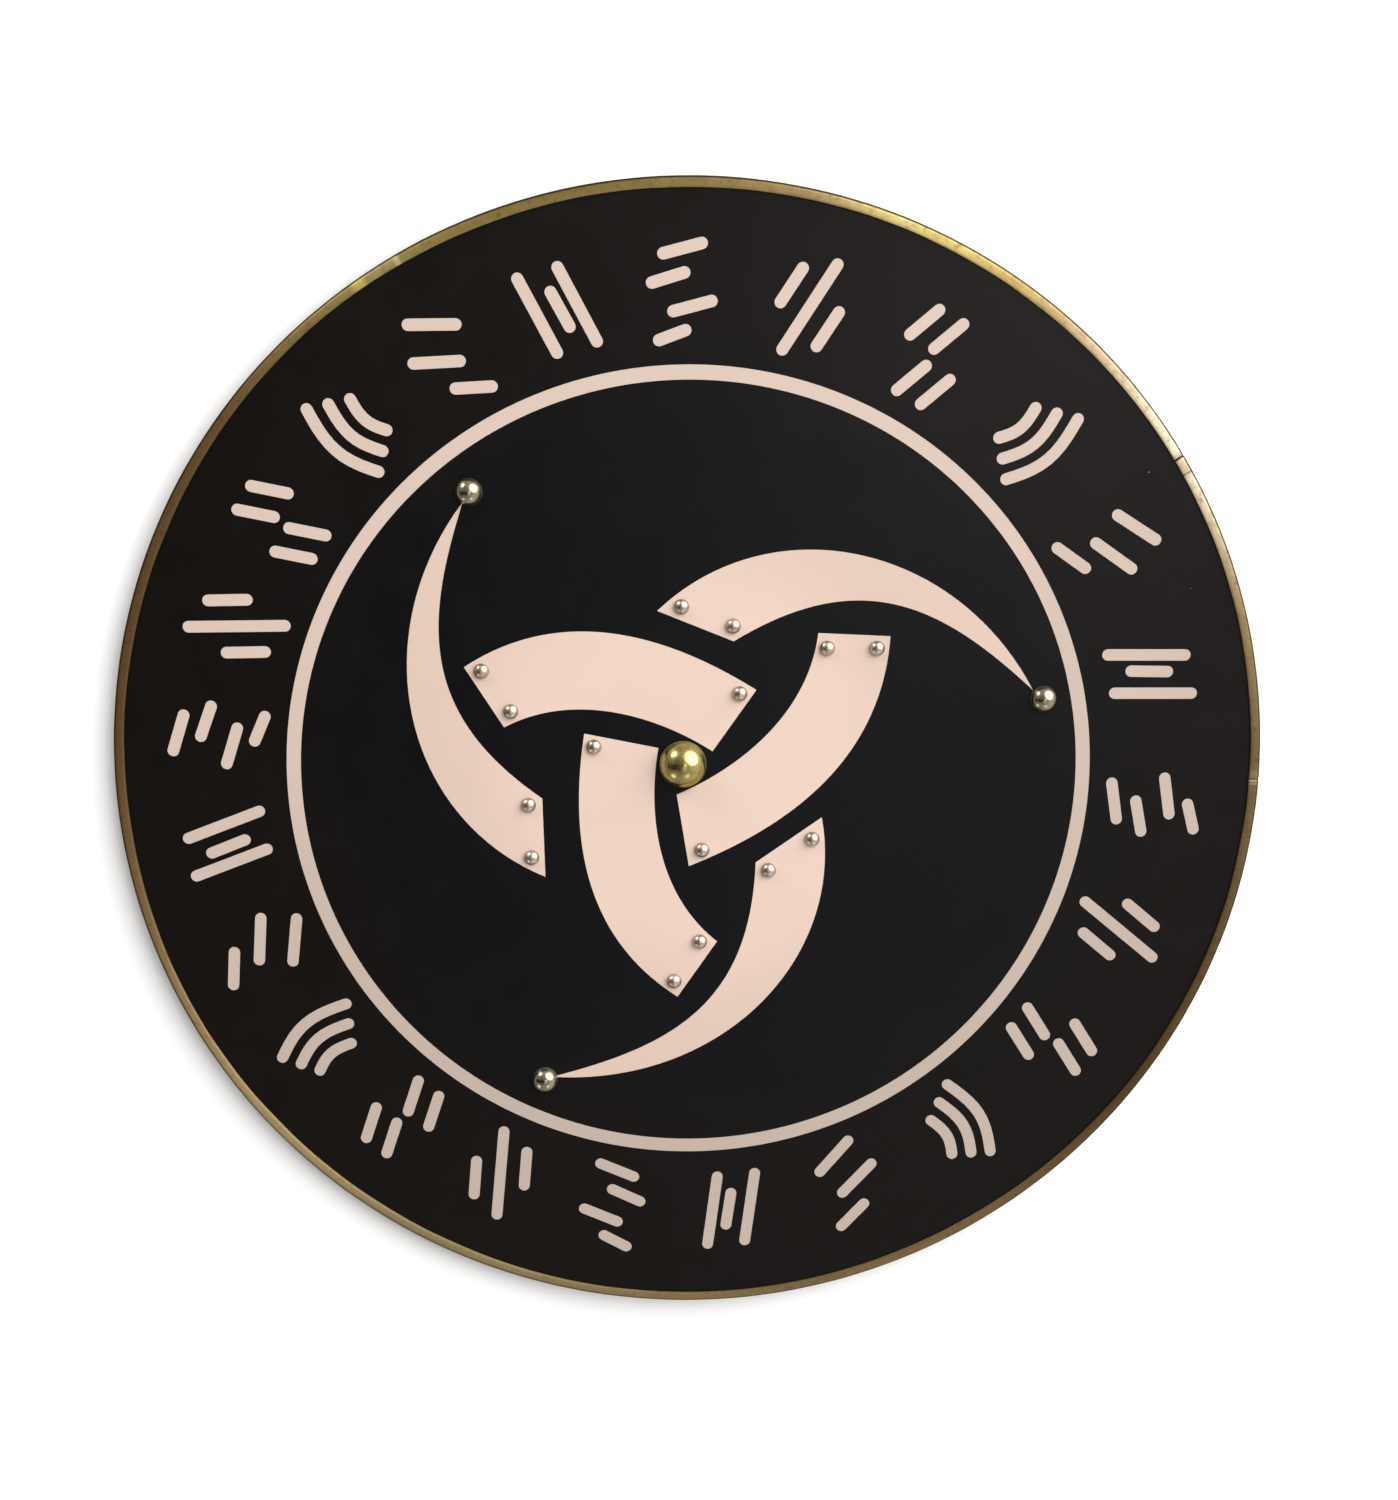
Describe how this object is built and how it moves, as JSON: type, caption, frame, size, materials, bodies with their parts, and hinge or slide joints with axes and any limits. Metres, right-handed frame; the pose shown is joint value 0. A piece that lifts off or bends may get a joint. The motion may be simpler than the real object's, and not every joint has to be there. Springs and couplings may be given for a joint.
{
  "type": "wooden round shield",
  "caption": "Flat round wooden shield with a painted face, a brass U-strip around its edge, a domed brass boss and domed nails.",
  "frame": {"origin": "on the ground under the middle of the board, as the shield lies on its back", "axes": "+Z out of the painted face, +Y towards the top of the painted design, +X to its right as seen from the face"},
  "size_m": [0.61, 0.61, 0.0232],
  "materials": {
    "painted_wood": "satin near-black paint with cream painted figures on the face, bare varnished wood on the back",
    "aged_brass": "aged brass, brushed along its length and dulled in patches",
    "nickel": "worn nickel plate, softly shining"
  },
  "bodies": {
    "root": {"board": "painted_wood", "rim_strip_long": "aged_brass", "rim_strip_short": "aged_brass", "centre_boss": "aged_brass", "tip_stud_left": "aged_brass", "tip_stud_right": "aged_brass", "tip_stud_low": "aged_brass", "mouth_nail_inner_left": "nickel", "mouth_nail_outer_left": "nickel", "mouth_nail_inner_right": "nickel", "mouth_nail_outer_right": "nickel", "mouth_nail_inner_low": "nickel", "mouth_nail_outer_low": "nickel", "band_nail_start_left": "nickel", "band_nail_inner_left": "nickel", "band_nail_outer_left": "nickel", "band_nail_start_right": "nickel", "band_nail_inner_right": "nickel", "band_nail_outer_right": "nickel", "band_nail_start_low": "nickel", "band_nail_inner_low": "nickel", "band_nail_outer_low": "nickel"}
  },
  "joints": []
}
